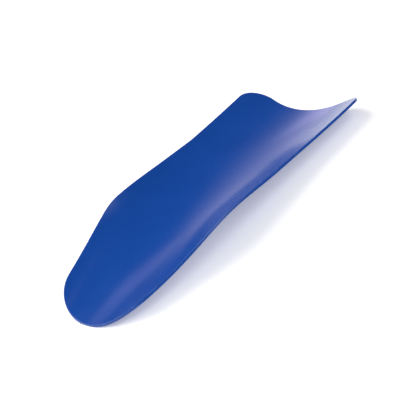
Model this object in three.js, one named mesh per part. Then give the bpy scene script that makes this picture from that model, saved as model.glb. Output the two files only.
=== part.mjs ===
// Sock aid: a one-piece moulded trough that a sock is pulled over before the foot slides in.
//
// Frame, in millimetres: +Z is up, the trough runs along Y with its tongue at the low-Y end and its
// wide end at the high-Y end, X = 0 is the plane of symmetry, Z = 0 is the surface it rests on, and
// the origin is the middle of its footprint there.
//
// The shell is one even wall bent from a flat pattern. A point of the pattern has two coordinates:
// along, measured down the middle line from the tip of the tongue, and across, measured round the
// section from that middle line. The middle line is arched, and every section is a round arc.
import * as THREE from 'three';

// Driving dimensions.
const LENGTH = 300;               // middle line, from the tip to the bottom of the scooped end
const WALL = 2.2;                 // even wall thickness
const ARCH_RISE = 9;              // crest of the middle line above its two ends
const ARCH_SKEW = 1.5;            // extra rise of the tongue's half, and fall of the wide half
const TIP_RADIUS = 40;            // round tip of the tongue
const BODY_HALF_WIDTH = 55;       // flat half width from the shoulder to the waist
const SHOULDER_ALONG = 99;        // where the tongue's sides would meet the body's sides
const SHOULDER_FILLET = 90;
const FLARE_ALONG = 205;          // where the body's sides would meet the flared sides
const FLARE_FILLET = 95;
const END_HALF_WIDTH = 61;        // flat half width that the flared sides reach at LENGTH
const CORNER_RADIUS = 19;         // the two corners of the wide end
const END_SCOOP_RADIUS = 105;     // hollow curve of the wide end's edge

// Radius of the section's arc at stations along the middle line, as shares of LENGTH.
const SECTION_STATIONS = [0, 0.15, 0.35, 0.55, 0.75, 1];
const SECTION_RADII = [65, 97, 87, 110, 116, 106];
const SECTION_CURVATURES = SECTION_RADII.map((radius) => 1 / radius);

// Resting flats: a level strip under each end, where the arch comes down to the surface.
const FLAT_HALF_WIDTH = 5;
const FLAT_DEPTH = 0.55;          // how far the underside is flattened there

// Facets of the solid.
const ROWS = 44;                  // along the length
const COLUMNS = 7;                // from the edge of the middle strip to each rim
const FLAT_ROW_SHARE = 0.4;       // share of a row's pitch that the resting flats take
const ROW_ARC_HALF_ANGLE = Math.PI / 3;   // stretch of the round tip that the first row takes
const SIDEWAYS_SHARE = 0.3;       // weight of travel across the pattern when the rows are spaced

const SHELL_BLUE = 0x17439a;

const point = (across, along) => new THREE.Vector2(across, along);

// Smooth curve through values at stations (cubic Hermite pieces with slopes from the neighbours).
function smoothThrough(stations, values, at) {
  const last = stations.length - 1;
  const here = Math.min(Math.max(at, stations[0]), stations[last]);
  const slope = (i) => {
    const before = Math.max(i - 1, 0);
    const after = Math.min(i + 1, last);
    return (values[after] - values[before]) / (stations[after] - stations[before]);
  };
  let i = 0;
  while (i < last - 1 && here > stations[i + 1]) i += 1;
  const span = stations[i + 1] - stations[i];
  const t = (here - stations[i]) / span;
  const rise = t * t * (3 - 2 * t);
  return values[i] * (1 - rise) + values[i + 1] * rise
    + slope(i) * span * t * (1 - t) * (1 - t)
    - slope(i + 1) * span * t * t * (1 - t);
}

// Adds to a path the arc that rounds the corner at vertex between the lines to before and to after.
function addFillet(path, before, vertex, after, radius) {
  const toBefore = before.clone().sub(vertex).normalize();
  const toAfter = after.clone().sub(vertex).normalize();
  const halfAngle = Math.acos(toBefore.dot(toAfter)) / 2;
  const centre = toBefore.clone().add(toAfter).setLength(radius / Math.sin(halfAngle)).add(vertex);
  const start = vertex.clone().addScaledVector(toBefore, radius / Math.tan(halfAngle)).sub(centre);
  const end = vertex.clone().addScaledVector(toAfter, radius / Math.tan(halfAngle)).sub(centre);
  path.absarc(centre.x, centre.y, radius, start.angle(), end.angle(), start.cross(end) < 0);
}

// Adds the rounded corner of the wide end: an arc touching the flared side and the scooped edge.
function addEndCorner(path, flareStart, flareEnd) {
  const side = flareEnd.clone().sub(flareStart).normalize();
  const inward = point(-side.y, side.x);
  const scoopCentre = point(0, LENGTH + END_SCOOP_RADIUS);
  const offsetLine = flareEnd.clone().addScaledVector(inward, CORNER_RADIUS).sub(scoopCentre);
  const reach = END_SCOOP_RADIUS + CORNER_RADIUS;
  const half = offsetLine.dot(side);
  const travel = -half - Math.sqrt(half * half - offsetLine.lengthSq() + reach * reach);
  const centre = offsetLine.addScaledVector(side, travel).add(scoopCentre);
  const toScoop = scoopCentre.clone().sub(centre);
  path.absarc(centre.x, centre.y, CORNER_RADIUS, inward.negate().angle(), toScoop.angle(), false);
}

// The rim on the +X side of the flat pattern, from the end of the tip's first row to the scoop.
function rimPath() {
  const tipCentre = point(0, TIP_RADIUS);
  const shoulder = point(BODY_HALF_WIDTH, SHOULDER_ALONG);
  const flareStart = point(BODY_HALF_WIDTH, FLARE_ALONG);
  const flareEnd = point(END_HALF_WIDTH, LENGTH);
  const toShoulder = shoulder.clone().sub(tipCentre);
  const tangent = toShoulder.angle() - Math.acos(TIP_RADIUS / toShoulder.length());
  const tangentPoint = point(Math.cos(tangent), Math.sin(tangent))
    .multiplyScalar(TIP_RADIUS).add(tipCentre);
  const path = new THREE.Path();
  path.absarc(tipCentre.x, tipCentre.y, TIP_RADIUS, ROW_ARC_HALF_ANGLE - Math.PI / 2, tangent, false);
  addFillet(path, tangentPoint, shoulder, flareStart, SHOULDER_FILLET);
  addFillet(path, shoulder, flareStart, flareEnd, FLARE_FILLET);
  addEndCorner(path, flareStart, flareEnd);
  return path;
}

// Rows of the pattern: each is an arc from rim to rim, bowed towards the tip at its middle.
function patternRows() {
  const inner = Array.from({ length: ROWS - 1 }, (_, i) => i + 1);
  const places = [0, FLAT_ROW_SHARE, ...inner, ROWS - FLAT_ROW_SHARE, ROWS];
  const path = rimPath();
  const rows = [];
  let travel = 0;
  for (const place of places) {
    const rim = path.getPointAt(place / ROWS);
    const previous = rows.length > 0 ? rows[rows.length - 1].rim : rim;
    travel += Math.abs(rim.y - previous.y) + SIDEWAYS_SHARE * Math.abs(rim.x - previous.x);
    rows.push({ rim, travel });
  }
  return rows.map((row) => ({ rim: row.rim, middle: LENGTH * row.travel / travel }));
}

// Points of one row, from the -X rim to the +X rim, with one strip of fixed width in the middle.
function rowPoints({ rim, middle }) {
  const bow = rim.y - middle;
  const bowRadius = (rim.x * rim.x + bow * bow) / (2 * bow);
  const half = [];
  for (let j = 0; j <= COLUMNS; j += 1) {
    const across = FLAT_HALF_WIDTH + (rim.x - FLAT_HALF_WIDTH) * j / COLUMNS;
    half.push(point(across, middle + bowRadius - Math.sqrt(bowRadius ** 2 - across ** 2)));
  }
  const mirrored = half.map((p) => point(-p.x, p.y)).reverse();
  return [...mirrored, ...half];
}

// Bends a point of the flat pattern into space, at a depth below the trough's inner surface.
function bend({ x: across, y: along }, depth) {
  const share = along / LENGTH;
  const arch = Math.PI * Math.min(share, 1);
  const slope = Math.PI / LENGTH * (ARCH_RISE * Math.cos(arch) + 2 * ARCH_SKEW * Math.cos(2 * arch));
  const level = ARCH_RISE * Math.sin(arch) + ARCH_SKEW * Math.sin(2 * arch);
  const crown = level + slope * Math.max(along - LENGTH, 0);
  const pitch = Math.atan(slope);
  const radius = 1 / smoothThrough(SECTION_STATIONS, SECTION_CURVATURES, share);
  const turn = across / radius;
  const flatTurn = FLAT_HALF_WIDTH / radius;
  const sagitta = radius * Math.max(Math.cos(flatTurn) - Math.cos(turn), 0);
  const height = sagitta - depth * Math.cos(turn);
  const sideways = radius * Math.sin(turn) + depth * Math.sin(turn);
  return new THREE.Vector3(
    sideways,
    along - height * Math.sin(pitch),
    crown + height * Math.cos(pitch),
  );
}

// The closed wall: inner surface, outer surface, and the edge face that joins them all round.
function shellGeometry() {
  const rows = patternRows().map(rowPoints);
  const width = rows[0].length;
  const inside = rows.flat().map((p) => bend(p, 0));
  const outside = rows.flat().map((p) => bend(p, WALL));
  const restLevel = Math.min(...outside.map((p) => p.z)) + FLAT_DEPTH;
  outside.forEach((p) => { p.z = Math.max(p.z, restLevel); });

  const under = inside.length;
  const index = [];
  const addQuad = (a, b, c, d) => index.push(a, b, c, a, c, d);
  for (let i = 0; i < rows.length - 1; i += 1) {
    for (let j = 0; j < width - 1; j += 1) {
      const a = i * width + j;
      addQuad(a, a + 1, a + 1 + width, a + width);
      addQuad(under + a, under + a + width, under + a + 1 + width, under + a + 1);
    }
  }
  const rimLoop = [];
  const lastRow = (rows.length - 1) * width;
  for (let j = 0; j < width - 1; j += 1) rimLoop.push(j);
  for (let i = 0; i < rows.length - 1; i += 1) rimLoop.push(i * width + width - 1);
  for (let j = width - 1; j > 0; j -= 1) rimLoop.push(lastRow + j);
  for (let i = rows.length - 1; i > 0; i -= 1) rimLoop.push(i * width);
  rimLoop.forEach((a, k) => {
    const b = rimLoop[(k + 1) % rimLoop.length];
    addQuad(a, under + a, under + b, b);
  });

  const geometry = new THREE.BufferGeometry().setFromPoints([...inside, ...outside]);
  geometry.setIndex(index);
  geometry.computeVertexNormals();
  geometry.computeBoundingBox();
  const { min, max } = geometry.boundingBox;
  geometry.translate(-(min.x + max.x) / 2, -(min.y + max.y) / 2, -min.z);
  return geometry;
}

const shell = new THREE.Mesh(
  shellGeometry(),
  new THREE.MeshStandardMaterial({ color: SHELL_BLUE, roughness: 0.38, metalness: 0 }),
);
shell.name = 'shell';

const sockAid = new THREE.Group();
sockAid.add(shell);

export default sockAid;
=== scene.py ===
import math

import bpy
from mathutils import Matrix, Quaternion, Vector


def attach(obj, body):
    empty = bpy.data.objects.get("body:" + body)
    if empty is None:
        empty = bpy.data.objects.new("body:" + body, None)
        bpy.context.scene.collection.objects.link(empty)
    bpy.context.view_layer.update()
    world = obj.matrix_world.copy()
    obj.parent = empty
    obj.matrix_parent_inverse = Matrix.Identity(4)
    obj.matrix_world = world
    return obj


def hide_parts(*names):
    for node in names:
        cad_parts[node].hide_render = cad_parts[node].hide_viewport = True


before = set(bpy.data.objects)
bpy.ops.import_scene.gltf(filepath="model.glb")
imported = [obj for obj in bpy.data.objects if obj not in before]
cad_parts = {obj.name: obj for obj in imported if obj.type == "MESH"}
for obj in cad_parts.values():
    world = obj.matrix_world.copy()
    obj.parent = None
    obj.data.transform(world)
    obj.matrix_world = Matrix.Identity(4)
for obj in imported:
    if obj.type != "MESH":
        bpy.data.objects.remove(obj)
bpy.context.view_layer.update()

# The shell's driving dimensions, in metres: the same flat pattern, arch and section as the CAD part.
# A point of the pattern is (across, along): round the section from the middle line, and down it.
MM = 0.001
LENGTH = 300 * MM
WALL = 2.2 * MM
ARCH_RISE = 9 * MM
ARCH_SKEW = 1.5 * MM
TIP_RADIUS = 40 * MM
BODY_HALF_WIDTH = 55 * MM
SHOULDER_ALONG = 99 * MM
SHOULDER_FILLET = 90 * MM
FLARE_ALONG = 205 * MM
FLARE_FILLET = 95 * MM
END_HALF_WIDTH = 61 * MM
CORNER_RADIUS = 19 * MM
END_SCOOP_RADIUS = 105 * MM
SECTION_STATIONS = (0, 0.15, 0.35, 0.55, 0.75, 1)
SECTION_RADII = tuple(radius * MM for radius in (65, 97, 87, 110, 116, 106))
REST_DEPTH = 0.55 * MM

# Fineness of the finished mesh, and its softened edge. The lighter band along each arris, partly rubbed
# wear and partly a painted highlight, is centred
# ARRIS_DEPTH below the face, and reaches as far again up and down.
RIM_STEP = 2 * MM
FEWEST_ARC_STEPS = 4
COLUMNS = 56
ROW_POINTS = COLUMNS + 1
TIP_HALF_ANGLE = math.radians(60)
SIDEWAYS_SHARE = 0.3
EDGE_ROUND = 0.2 * MM
EDGE_STEPS = 5
EDGE_GUARD = 0.5 * MM
ARRIS_DEPTH = 0.1 * MM

# Plastic. Scales are features a metre; colours are linear.
PLASTIC_IOR = 1.46
DEEP_BLUE = (0.0062, 0.056, 0.304, 1)
CLEAR_BLUE = (0.0068, 0.0605, 0.324, 1)
SPECKLE_BLUE = (0.0125, 0.08, 0.385, 1)
# Lighter blue for the arrises: partly rubbed wear, partly a painted highlight on the rounded edge.
RUBBED_AND_HIGHLIGHT_BLUE = (0.03, 0.12, 0.45, 1)
NOISE_LOW = 0.3
NOISE_HIGH = 0.7
SMOOTH_DETAIL = 2
FINE_DETAIL = 4
CLOUD_SCALE = 28
GRAIN_SCALE = 1100
GRAIN_STRENGTH = 0.18
GRAIN_HEIGHT = 0.018 * MM
SPECKLE_AMOUNT = 0.4
DRAW_LINE_SCALE = 45
DRAW_LINE_STRETCH = (1, 0.12, 1)
DRAW_LINE_STRENGTH = 0.15
DRAW_LINE_HEIGHT = 0.05 * MM
DRAW_LINE_ROUGHNESS = 0.008
RUB_AND_HIGHLIGHT_SCALE = 160
RUB_AND_HIGHLIGHT_AMOUNT = 0.6
RUB_ROUGHNESS = 0.2
ROUGHNESS_LOW = 0.18
ROUGHNESS_HIGH = 0.205

# Camera: where the photograph was taken from.
AIM = Vector((3.6, -10.9, -1.1)) * MM
CAMERA_AZIMUTH = math.radians(43.3)
CAMERA_ELEVATION = math.radians(30.15)
CAMERA_ROLL = math.radians(-16.7)
CAMERA_DISTANCE = 647 * MM
CAMERA_LENS = 72.3
CAMERA_SENSOR = 36

# Studio. The backdrop has BACKDROP_LIGHT within BACKDROP_FULL of the point on the horizon at its
# azimuth, and falls to SURROUND_LIGHT by BACKDROP_END. With elevation, from BACKDROP_BOTTOM up to
# BACKDROP_TOP, everything fades to CEILING_LIGHT.
FLOOR_SIZE = 12
PALE = (0.9, 0.9, 0.9)
FLOOR_ROUGHNESS = 0.9
FLOOR_GLOW = 0.32
BACKDROP_AZIMUTH = math.radians(-155)
BACKDROP_FULL = math.radians(31)
BACKDROP_END = math.radians(38)
BACKDROP_BOTTOM = math.radians(-1)
BACKDROP_TOP = math.radians(30)
BACKDROP_LIGHT = 1.3
SURROUND_LIGHT = 0.15
CEILING_LIGHT = 0.02
BACKDROP_COLOUR = (1, 0.92, 1.14, 1)
KEY_DISTANCE = 2.4
KEY_SIZE = 2
KEY_LIGHTS = (  # name, azimuth and elevation in degrees, power in watts
    ("left_key", -65, 45, 51),
    ("front_key", 0, 50, 16),
    ("right_key", 60, 45, 12),
    ("back_right_key", 115, 45, 24),
)
PANEL_DISTANCE = 1.6
PANEL_COLOUR = (1, 0.86, 1.15)
PANELS = (  # name, azimuth, elevation and tilt in degrees, width and height in metres, power in watts
    ("tongue_strip", -117.5, 28, -19, (0.17, 0.62), 0.22),
    ("tip_panel", -109.5, 32, 0, (0.26, 0.5), 0.2),
    ("top_panel", -140, 70, 0, (0.14, 0.18), 0.045),
    ("end_panel", -159, 8, 0, (0.8, 0.4), 0.85),
)


def direction(azimuth, elevation):
    """Unit vector from the object towards a viewer at that azimuth and elevation."""
    flat = math.cos(elevation)
    return Vector((math.sin(azimuth) * flat, -math.cos(azimuth) * flat, math.sin(elevation)))


def smooth_through(stations, values, at):
    """Smooth curve through values at stations, from cubic Hermite pieces."""
    last = len(stations) - 1
    here = min(max(at, stations[0]), stations[last])

    def slope(i):
        before = max(i - 1, 0)
        after = min(i + 1, last)
        return (values[after] - values[before]) / (stations[after] - stations[before])

    i = 0
    while i < last - 1 and here > stations[i + 1]:
        i += 1
    span = stations[i + 1] - stations[i]
    t = (here - stations[i]) / span
    rise = t * t * (3 - 2 * t)
    return (
        values[i] * (1 - rise)
        + values[i + 1] * rise
        + slope(i) * span * t * (1 - t) ** 2
        - slope(i + 1) * span * t * t * (1 - t)
    )


def bend(place, depth):
    """Bends a point of the flat pattern into space, at a depth below the trough's inner surface."""
    across, along = place
    share = along / LENGTH
    arch = math.pi * min(share, 1)
    slope = math.pi / LENGTH * (ARCH_RISE * math.cos(arch) + 2 * ARCH_SKEW * math.cos(2 * arch))
    level = ARCH_RISE * math.sin(arch) + ARCH_SKEW * math.sin(2 * arch)
    crown = level + slope * max(along - LENGTH, 0)
    pitch = math.atan(slope)
    curvatures = [1 / radius for radius in SECTION_RADII]
    curvature = smooth_through(SECTION_STATIONS, curvatures, share)
    turn = across * curvature
    height = (1 - math.cos(turn)) / curvature - depth * math.cos(turn)
    sideways = (1 / curvature + depth) * math.sin(turn)
    return Vector((sideways, along - height * math.sin(pitch), crown + height * math.cos(pitch)))


def arc(centre, radius, start, sweep, hollow=False):
    """Points of the rim round an arc, each with the direction that points out of the pattern."""
    steps = max(FEWEST_ARC_STEPS, math.ceil(abs(sweep) * radius / RIM_STEP))
    points = []
    for i in range(steps + 1):
        angle = start + sweep * i / steps
        out = Vector((math.cos(angle), math.sin(angle)))
        points.append((centre + out * radius, -out if hollow else out))
    return points


def fillet(before, vertex, after, radius, hollow=False):
    """The arc that rounds a corner between two straight stretches of the rim."""
    to_before = (before - vertex).normalized()
    to_after = (after - vertex).normalized()
    half_angle = to_before.angle(to_after) / 2
    middle = (to_before + to_after).normalized()
    centre = vertex + middle * radius / math.sin(half_angle)
    start = vertex + to_before * radius / math.tan(half_angle) - centre
    end = vertex + to_after * radius / math.tan(half_angle) - centre
    start_angle = math.atan2(start.y, start.x)
    sweep = math.remainder(math.atan2(end.y, end.x) - start_angle, math.tau)
    return arc(centre, radius, start_angle, sweep, hollow)


def end_corner(flare_start, flare_end):
    """The rounded corner of the wide end, between the flared side and the scooped edge."""
    side = (flare_end - flare_start).normalized()
    inward = Vector((-side.y, side.x))
    scoop_centre = Vector((0, LENGTH + END_SCOOP_RADIUS))
    offset = flare_end + inward * CORNER_RADIUS - scoop_centre
    reach = END_SCOOP_RADIUS + CORNER_RADIUS
    half = offset.dot(side)
    travel = -half - math.sqrt(half * half - offset.length_squared + reach * reach)
    centre = scoop_centre + offset + side * travel
    to_scoop = scoop_centre - centre
    start_angle = math.atan2(-inward.y, -inward.x)
    sweep = math.atan2(to_scoop.y, to_scoop.x) - start_angle
    return arc(centre, CORNER_RADIUS, start_angle, sweep)


def rim_side():
    """The +X side of the rim, from the end of the first row round the tip to the scooped edge."""
    tip_centre = Vector((0, TIP_RADIUS))
    shoulder = Vector((BODY_HALF_WIDTH, SHOULDER_ALONG))
    flare_start = Vector((BODY_HALF_WIDTH, FLARE_ALONG))
    flare_end = Vector((END_HALF_WIDTH, LENGTH))
    to_shoulder = shoulder - tip_centre
    tangent = math.atan2(to_shoulder.y, to_shoulder.x) - math.acos(TIP_RADIUS / to_shoulder.length)
    tangent_point = tip_centre + Vector((math.cos(tangent), math.sin(tangent))) * TIP_RADIUS
    tip_start = TIP_HALF_ANGLE - math.pi / 2
    arcs = [
        arc(tip_centre, TIP_RADIUS, tip_start, tangent - tip_start),
        fillet(tangent_point, shoulder, flare_start, SHOULDER_FILLET),
        fillet(shoulder, flare_start, flare_end, FLARE_FILLET, hollow=True),
        end_corner(flare_start, flare_end),
    ]
    rim = list(arcs[0])
    for piece in arcs[1:]:
        start, out = rim[-1]
        gap = piece[0][0] - start
        steps = max(1, math.ceil(gap.length / RIM_STEP))
        rim.extend((start + gap * i / steps, out) for i in range(1, steps))
        rim.extend(piece)
    return rim


def pattern_rows(inset):
    """Rows of pattern points held back from the rim by inset, and the rim's outward directions."""
    rim = [(point - out * inset, out) for point, out in rim_side()]
    travels = [0]
    for (previous, _), (point, _) in zip(rim, rim[1:]):
        step = point - previous
        travels.append(travels[-1] + abs(step.y) + SIDEWAYS_SHARE * abs(step.x))
    rows = []
    for (point, _), travel in zip(rim, travels):
        middle = inset + (LENGTH - 2 * inset) * travel / travels[-1]
        bow = point.y - middle
        bow_radius = (point.x ** 2 + bow ** 2) / (2 * bow)
        row = []
        for j in range(COLUMNS + 1):
            across = point.x * (2 * j / COLUMNS - 1)
            row.append(Vector((across, middle + bow_radius - math.sqrt(bow_radius ** 2 - across ** 2))))
        rows.append(row)
    return rows, [out for _, out in rim]


def edge_profile():
    """Steps across the wall at its softened edge: (distance out from the mesh's rim, depth)."""
    profile = [(EDGE_GUARD, 0)]
    reach = EDGE_GUARD + EDGE_ROUND
    for i in range(1, EDGE_STEPS + 1):
        angle = math.pi / 2 * i / EDGE_STEPS
        out = EDGE_GUARD + EDGE_ROUND * math.sin(angle)
        profile.append((out, EDGE_ROUND * (1 - math.cos(angle))))
    profile.append((reach, WALL / 2))
    mirrored = [(out, WALL - depth) for out, depth in reversed(profile[:-1])]
    return profile + mirrored


def surface_faces(count, under):
    """Faces of the inner surface, and of the outer one, whose points are numbered from under."""
    faces = []
    for i in range(count - 1):
        for j in range(COLUMNS):
            a = i * ROW_POINTS + j
            b = a + ROW_POINTS
            faces.append((a, a + 1, b + 1, b))
            faces.append((under + a, under + b, under + b + 1, under + a + 1))
    return faces


def rim_loop(flat, rim_outs):
    """The numbers of the points all round the rim, each with the direction that points outwards."""
    tip_centre = Vector((0, TIP_RADIUS))
    scoop_centre = Vector((0, LENGTH + END_SCOOP_RADIUS))
    mirror = Vector((-1, 1))
    last_row = len(rim_outs) - 1
    last = last_row * ROW_POINTS
    loop = [(j, (flat[j] - tip_centre).normalized()) for j in range(COLUMNS)]
    loop += [(i * ROW_POINTS + COLUMNS, rim_outs[i]) for i in range(last_row)]
    loop += [(last + j, (scoop_centre - flat[last + j]).normalized()) for j in range(COLUMNS, 0, -1)]
    loop += [(i * ROW_POINTS, rim_outs[i] * mirror) for i in range(last_row, 0, -1)]
    return loop


def edge_faces(rings):
    """Faces between neighbouring rings of points round the rim."""
    faces = []
    for upper, lower in zip(rings, rings[1:]):
        for k in range(len(upper)):
            after = (k + 1) % len(upper)
            faces.append((upper[k], lower[k], lower[after], upper[after]))
    return faces


def settle(vertices):
    """Flattens the two resting strips, and puts them on the floor with the middle at the origin."""
    floor_level = min(point.z for point in vertices) + REST_DEPTH
    middle_y = (min(point.y for point in vertices) + max(point.y for point in vertices)) / 2
    for point in vertices:
        point.z = max(point.z - floor_level, 0)
        point.y -= middle_y


def build_shell():
    """The finished shell: fine inner and outer surfaces joined by a softened edge."""
    rows, rim_outs = pattern_rows(EDGE_GUARD + EDGE_ROUND)
    flat = [point for row in rows for point in row]
    vertices = [bend(point, 0) for point in flat] + [bend(point, WALL) for point in flat]
    # Marks the arris band that is painted lighter: partly rubbed wear, partly a painted highlight.
    arris_wear_and_highlight = [0] * len(vertices)
    under = len(flat)

    loop = rim_loop(flat, rim_outs)
    rings = [[index for index, _ in loop]]
    for distance, depth in edge_profile():
        rings.append(list(range(len(vertices), len(vertices) + len(loop))))
        vertices.extend(bend(flat[index] + out * distance, depth) for index, out in loop)
        at_arris = abs(min(depth, WALL - depth) - ARRIS_DEPTH) < ARRIS_DEPTH
        arris_wear_and_highlight.extend([1 if at_arris else 0] * len(loop))
    rings.append([under + index for index, _ in loop])
    settle(vertices)

    mesh = bpy.data.meshes.new("shell_moulding")
    mesh.from_pydata(vertices, [], surface_faces(len(rows), under) + edge_faces(rings))
    mesh.shade_smooth()
    mesh.attributes.new("arris_wear_and_highlight", "FLOAT", "POINT").data.foreach_set("value", arris_wear_and_highlight)
    mesh.validate()
    shell = bpy.data.objects.new("shell_moulding", mesh)
    bpy.context.collection.objects.link(shell)
    return shell


def add_noise(tree, coordinates, scale, stretch=(1, 1, 1), detail=SMOOTH_DETAIL):
    """A noise pattern of so many features a metre, stretched along some axes."""
    mapping = tree.nodes.new("ShaderNodeMapping")
    mapping.inputs["Scale"].default_value = stretch
    noise = tree.nodes.new("ShaderNodeTexNoise")
    noise.inputs["Scale"].default_value = scale
    noise.inputs["Detail"].default_value = detail
    tree.links.new(coordinates, mapping.inputs["Vector"])
    tree.links.new(mapping.outputs["Vector"], noise.inputs["Vector"])
    return noise.outputs["Fac"]


def add_range(tree, value, low, high):
    """Turns a noise's middle range into values from low to high."""
    spread = tree.nodes.new("ShaderNodeMapRange")
    spread.interpolation_type = "SMOOTHSTEP"
    spread.inputs["From Min"].default_value = NOISE_LOW
    spread.inputs["From Max"].default_value = NOISE_HIGH
    spread.inputs["To Min"].default_value = low
    spread.inputs["To Max"].default_value = high
    tree.links.new(value, spread.inputs["Value"])
    return spread.outputs["Result"]


def add_mix(tree, factor, first, second):
    """Mixes two colours, each a colour value or another node's output."""
    mix = tree.nodes.new("ShaderNodeMix")
    mix.data_type = "RGBA"
    tree.links.new(factor, mix.inputs["Factor"])
    for socket, colour in zip(("A", "B"), (first, second)):
        target = next(i for i in mix.inputs if i.name == socket and i.type == "RGBA")
        if isinstance(colour, tuple):
            target.default_value = colour
        else:
            tree.links.new(colour, target)
    return next(o for o in mix.outputs if o.type == "RGBA")


def add_maths(tree, operation, first, second):
    """Combines two values, each a number or another node's output."""
    maths = tree.nodes.new("ShaderNodeMath")
    maths.operation = operation
    for socket, value in zip(maths.inputs, (first, second)):
        if isinstance(value, (int, float)):
            socket.default_value = value
        else:
            tree.links.new(value, socket)
    return maths.outputs["Value"]


def add_bump(tree, height, strength, distance, normal=None):
    """Raises the surface by a pattern, on top of another bump if one is given."""
    bump = tree.nodes.new("ShaderNodeBump")
    bump.inputs["Strength"].default_value = strength
    bump.inputs["Distance"].default_value = distance
    tree.links.new(height, bump.inputs["Height"])
    if normal is not None:
        tree.links.new(normal, bump.inputs["Normal"])
    return bump.outputs["Normal"]


def shell_plastic():
    """Satin deep blue moulded plastic: fine grain, faint draw lines, arrises lighter in patches, partly
    rubbed wear and partly a painted highlight.
    """
    material = bpy.data.materials.new("shell_plastic")
    material.use_nodes = True
    tree = material.node_tree
    shader = tree.nodes["Principled BSDF"]
    shader.inputs["IOR"].default_value = PLASTIC_IOR
    place = tree.nodes.new("ShaderNodeTexCoord").outputs["Object"]

    cloud = add_noise(tree, place, CLOUD_SCALE)
    grain = add_noise(tree, place, GRAIN_SCALE, detail=FINE_DETAIL)
    draw_lines = add_noise(tree, place, DRAW_LINE_SCALE, stretch=DRAW_LINE_STRETCH)
    rub_and_highlight_patches = add_noise(tree, place, RUB_AND_HIGHLIGHT_SCALE, detail=FINE_DETAIL)

    # The arris band is painted lighter in patches: partly rubbed wear, partly a painted highlight.
    arris = tree.nodes.new("ShaderNodeAttribute")
    arris.attribute_name = "arris_wear_and_highlight"
    rub_and_highlight_amount = add_range(tree, rub_and_highlight_patches, 0, RUB_AND_HIGHLIGHT_AMOUNT)
    rubbed_and_highlit = add_maths(tree, "MULTIPLY", arris.outputs["Fac"], rub_and_highlight_amount)
    clouded = add_mix(tree, add_range(tree, cloud, 0, 1), DEEP_BLUE, CLEAR_BLUE)
    speckled = add_mix(tree, add_range(tree, grain, 0, SPECKLE_AMOUNT), clouded, SPECKLE_BLUE)
    colour = add_mix(tree, rubbed_and_highlit, speckled, RUBBED_AND_HIGHLIGHT_BLUE)
    tree.links.new(colour, shader.inputs["Base Color"])

    sheen_change = add_range(tree, cloud, ROUGHNESS_LOW, ROUGHNESS_HIGH)
    line_change = add_range(tree, draw_lines, -DRAW_LINE_ROUGHNESS, DRAW_LINE_ROUGHNESS)
    moulded_roughness = add_maths(tree, "ADD", sheen_change, line_change)
    rub_roughness = add_maths(tree, "MULTIPLY", rubbed_and_highlit, RUB_ROUGHNESS)
    roughness = add_maths(tree, "ADD", moulded_roughness, rub_roughness)
    tree.links.new(roughness, shader.inputs["Roughness"])

    waves = add_bump(tree, draw_lines, DRAW_LINE_STRENGTH, DRAW_LINE_HEIGHT)
    surface = add_bump(tree, grain, GRAIN_STRENGTH, GRAIN_HEIGHT, normal=waves)
    tree.links.new(surface, shader.inputs["Normal"])
    return material


def build_floor():
    """A plain pale floor that glows a little, which keeps the shadow faint."""
    bpy.ops.mesh.primitive_plane_add(size=FLOOR_SIZE)
    floor = bpy.context.object
    floor.name = "floor"
    material = bpy.data.materials.new("floor_pale")
    material.use_nodes = True
    shader = material.node_tree.nodes["Principled BSDF"]
    shader.inputs["Base Color"].default_value = (*PALE, 1)
    shader.inputs["Roughness"].default_value = FLOOR_ROUGHNESS
    shader.inputs["Emission Color"].default_value = (*PALE, 1)
    shader.inputs["Emission Strength"].default_value = FLOOR_GLOW
    floor.data.materials.append(material)


def build_camera():
    """The camera at the photograph's angle, with colours shown unchanged."""
    back = direction(CAMERA_AZIMUTH, CAMERA_ELEVATION)
    right = Vector((math.cos(CAMERA_AZIMUTH), math.sin(CAMERA_AZIMUTH), 0))
    up = back.cross(right)
    turned_right = right * math.cos(CAMERA_ROLL) + up * math.sin(CAMERA_ROLL)
    turned_up = up * math.cos(CAMERA_ROLL) - right * math.sin(CAMERA_ROLL)
    data = bpy.data.cameras.new("camera")
    data.lens = CAMERA_LENS
    data.sensor_width = CAMERA_SENSOR
    camera = bpy.data.objects.new("camera", data)
    bpy.context.collection.objects.link(camera)
    rotation = Matrix((turned_right, turned_up, back)).transposed()
    camera.matrix_world = Matrix.Translation(AIM + back * CAMERA_DISTANCE) @ rotation.to_4x4()
    bpy.context.scene.camera = camera
    bpy.context.scene.view_settings.view_transform = "Standard"


def add_softbox(name, azimuth, elevation, tilt, distance, size, power):
    """A soft rectangular light that faces the object, tilted about its middle by so many degrees."""
    data = bpy.data.lights.new(name, "AREA")
    data.shape = "RECTANGLE"
    data.size, data.size_y = size
    data.energy = power
    light = bpy.data.objects.new(name, data)
    bpy.context.collection.objects.link(light)
    towards = direction(math.radians(azimuth), math.radians(elevation))
    light.location = towards * distance
    turn = towards.to_track_quat("Z", "Y") @ Quaternion((0, 0, 1), math.radians(tilt))
    light.rotation_euler = turn.to_euler()
    return light


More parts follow.
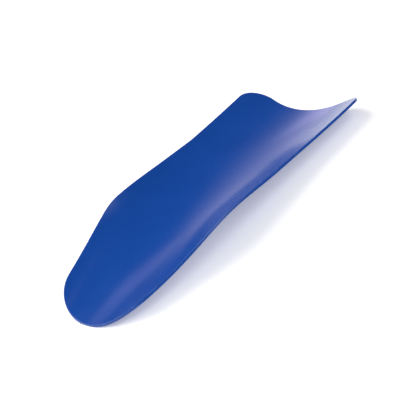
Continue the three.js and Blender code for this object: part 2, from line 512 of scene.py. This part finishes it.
def build_world():
    """A dim studio with a bright backdrop behind the wide end, brightest at the horizon."""
    world = bpy.data.worlds.new("studio")
    world.use_nodes = True
    nodes = world.node_tree.nodes
    links = world.node_tree.links
    background = nodes["Background"]
    background.inputs["Color"].default_value = BACKDROP_COLOUR
    looking = nodes.new("ShaderNodeTexCoord").outputs["Generated"]
    split = nodes.new("ShaderNodeSeparateXYZ")
    links.new(looking, split.inputs["Vector"])
    towards_backdrop = nodes.new("ShaderNodeVectorMath")
    towards_backdrop.operation = "DOT_PRODUCT"
    towards_backdrop.inputs[1].default_value = direction(BACKDROP_AZIMUTH, 0)
    links.new(looking, towards_backdrop.inputs[0])

    horizon = nodes.new("ShaderNodeMapRange")
    horizon.inputs["From Min"].default_value = math.cos(BACKDROP_END)
    horizon.inputs["From Max"].default_value = math.cos(BACKDROP_FULL)
    horizon.inputs["To Min"].default_value = SURROUND_LIGHT
    horizon.inputs["To Max"].default_value = BACKDROP_LIGHT
    links.new(towards_backdrop.outputs["Value"], horizon.inputs["Value"])
    fade = nodes.new("ShaderNodeMapRange")
    fade.inputs["From Min"].default_value = math.sin(BACKDROP_BOTTOM)
    fade.inputs["From Max"].default_value = math.sin(BACKDROP_TOP)
    fade.inputs["To Max"].default_value = CEILING_LIGHT
    links.new(split.outputs["Z"], fade.inputs["Value"])
    links.new(horizon.outputs["Result"], fade.inputs["To Min"])
    links.new(fade.outputs["Result"], background.inputs["Strength"])
    bpy.context.scene.world = world


def build_lights():
    """Large softboxes that light the shell, and dim panels that its sheen mirrors."""
    for name, azimuth, elevation, power in KEY_LIGHTS:
        add_softbox(name, azimuth, elevation, 0, KEY_DISTANCE, (KEY_SIZE, KEY_SIZE), power)
    for name, azimuth, elevation, tilt, size, power in PANELS:
        panel = add_softbox(name, azimuth, elevation, tilt, PANEL_DISTANCE, size, power)
        panel.data.color = PANEL_COLOUR


build_camera()
build_floor()
build_world()
build_lights()
shell = build_shell()
shell.data.materials.append(shell_plastic())
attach(shell, "root")
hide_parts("shell")
